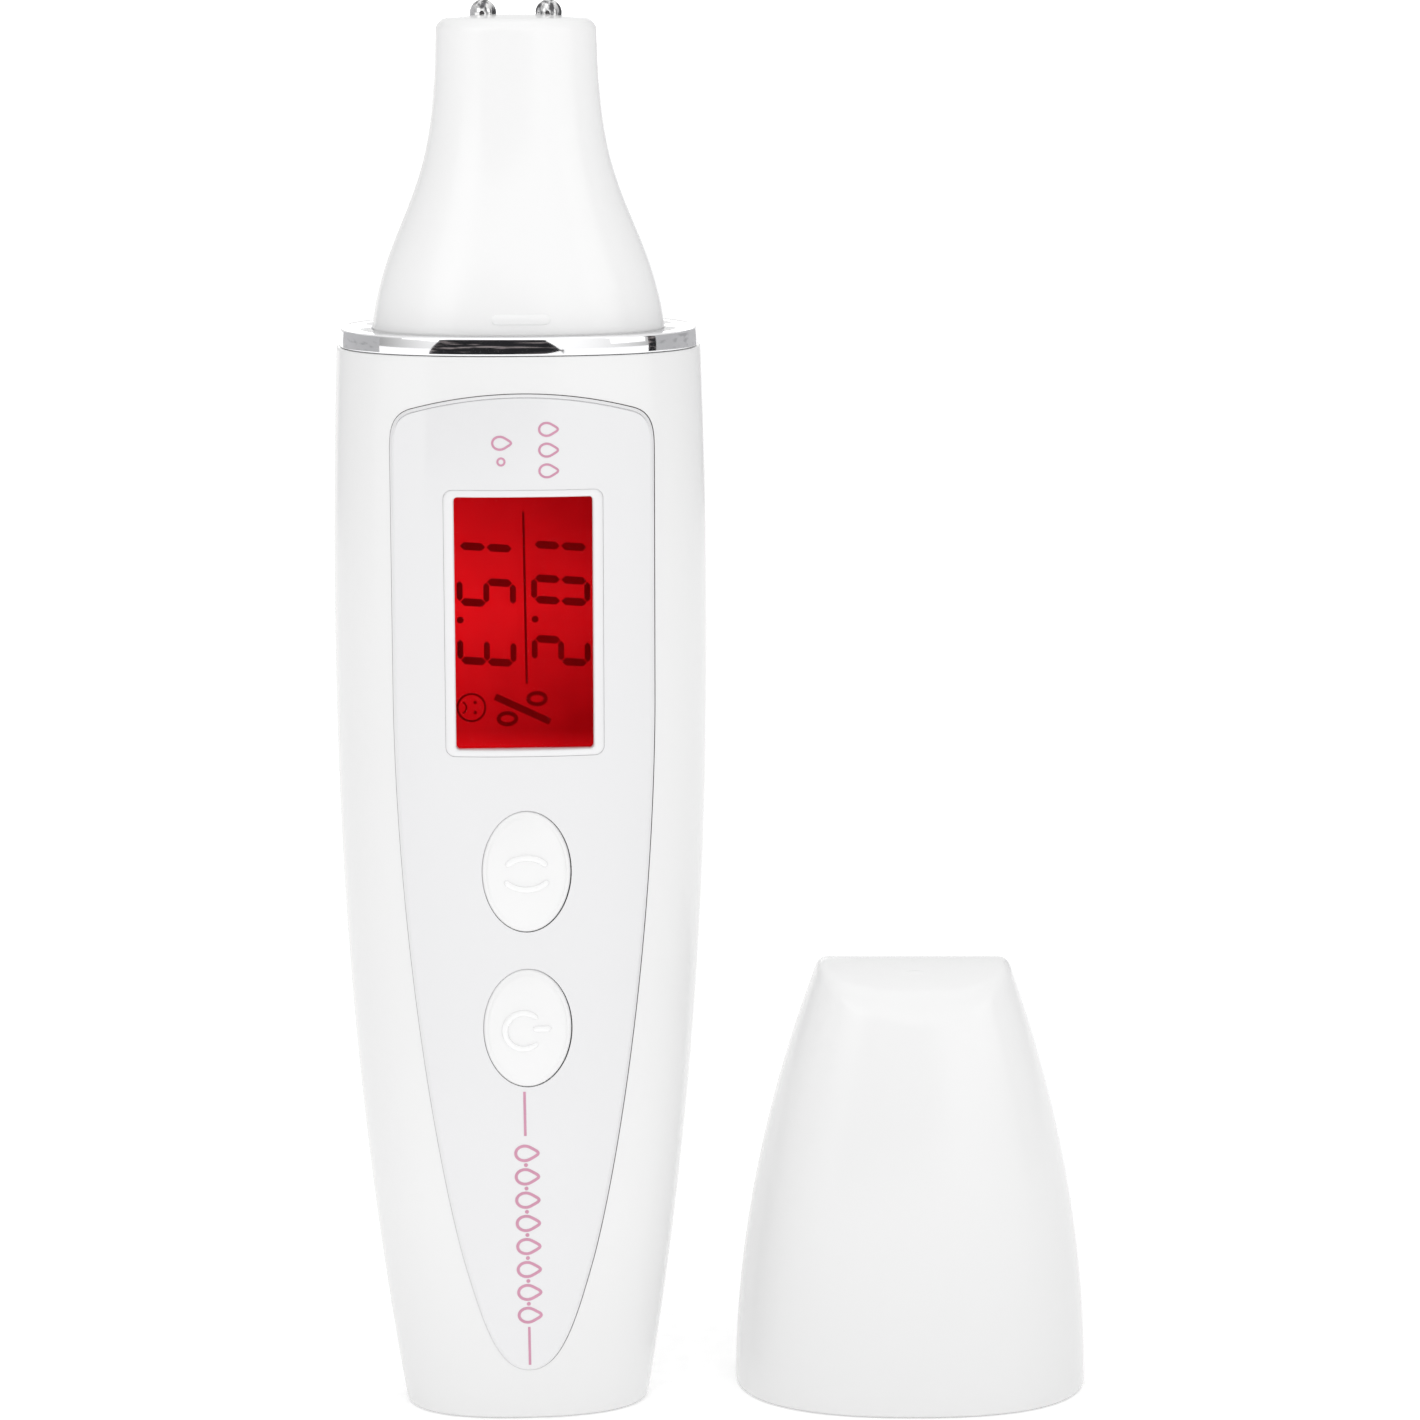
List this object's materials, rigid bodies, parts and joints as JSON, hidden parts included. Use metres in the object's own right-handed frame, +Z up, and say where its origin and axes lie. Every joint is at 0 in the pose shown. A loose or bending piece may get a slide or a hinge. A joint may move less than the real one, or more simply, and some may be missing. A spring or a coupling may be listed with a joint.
{
  "type": "moisture meter",
  "caption": "Hand-held skin moisture meter: tapering white casing, backlit display, oval keys, chrome trim, bottle-neck sensor head and a separate pull-off cap.",
  "frame": {"origin": "centre of the meter's flat base, on the surface it stands on", "axes": "+Z up the meter from its base to the sensor contacts, -Y out of the display, +X to the right of the display"},
  "size_m": [0.0768, 0.0284, 0.1422],
  "materials": {
    "white_casing": "smooth glossy white moulded plastic",
    "panel": "high-gloss off-white panel with faint pink printing",
    "display_rim": "gloss white",
    "key": "satin white with raised symbols",
    "trim_chrome": "mirror plated",
    "contact_chrome": "polished plated metal",
    "display_window": "clear gloss",
    "display_film": "red backlit liquid-crystal display with dark red segments",
    "diffuser": "translucent white",
    "inner_plastic": "plain moulded",
    "circuit_board": "green solder mask",
    "black_plastic": "plain moulded",
    "battery_jacket": "printed film jacket, plain",
    "steel": "nickel plated",
    "red_lead": "insulated wire",
    "black_lead": "insulated wire"
  },
  "bodies": {
    "meter": {"front_shell": "white_casing", "rear_shell": "white_casing", "sensor_head": "white_casing", "front_panel": "panel", "display_rim": "display_rim", "trim_ring": "trim_chrome", "contact_left": "contact_chrome", "contact_right": "contact_chrome", "display_window": "display_window", "lcd_glass": "display_film", "backlight": "diffuser", "display_holder": "inner_plastic", "battery_tray": "inner_plastic", "probe_connector": "inner_plastic", "battery_connector": "inner_plastic", "main_board": "circuit_board", "probe_board": "circuit_board", "contact_strip": "black_plastic", "controller_chip": "black_plastic", "supply_capacitor": "black_plastic", "hold_switch_body": "black_plastic", "power_switch_body": "black_plastic", "battery_left": "battery_jacket", "battery_right": "battery_jacket", "crystal": "steel", "negative_plate": "steel", "positive_plate": "steel", "bridge_plate": "steel", "lower_spring": "steel", "upper_spring": "steel", "case_screw_upper_left": "steel", "case_screw_upper_right": "steel", "case_screw_lower_left": "steel", "case_screw_lower_right": "steel", "board_screw_upper_left": "steel", "board_screw_upper_right": "steel", "board_screw_lower_left": "steel", "board_screw_lower_right": "steel", "probe_lead_left": "red_lead", "battery_lead_left": "red_lead", "probe_lead_right": "black_lead", "battery_lead_right": "black_lead"},
    "battery_door": {"battery_door": "white_casing"},
    "hold_key": {"hold_key": "key", "hold_switch_plunger": "inner_plastic"},
    "power_key": {"power_key": "key", "power_switch_plunger": "inner_plastic"},
    "cap": {"cap_shell": "white_casing"}
  },
  "joints": [
    {"name": "hold_key_press", "type": "slide", "parent": "meter", "child": "hold_key", "axis": [0, 1, 0], "range_m": [0, 0.0005], "stiffness_N_per_m": 1500, "springref_m": -0.0003},
    {"name": "power_key_press", "type": "slide", "parent": "meter", "child": "power_key", "axis": [0, 1, 0], "range_m": [0, 0.0005], "stiffness_N_per_m": 1500, "springref_m": -0.0003},
    {"name": "battery_door_open", "type": "hinge", "parent": "meter", "child": "battery_door", "pos_m": [0, 0.00913, 0.012], "axis": [-1, 0, 0], "range_deg": [0, 80]},
    {"name": "cap_lift", "type": "slide", "parent": "meter", "child": "cap", "axis": [0, 0, 1], "range_m": [0, 0.15]}
  ]
}
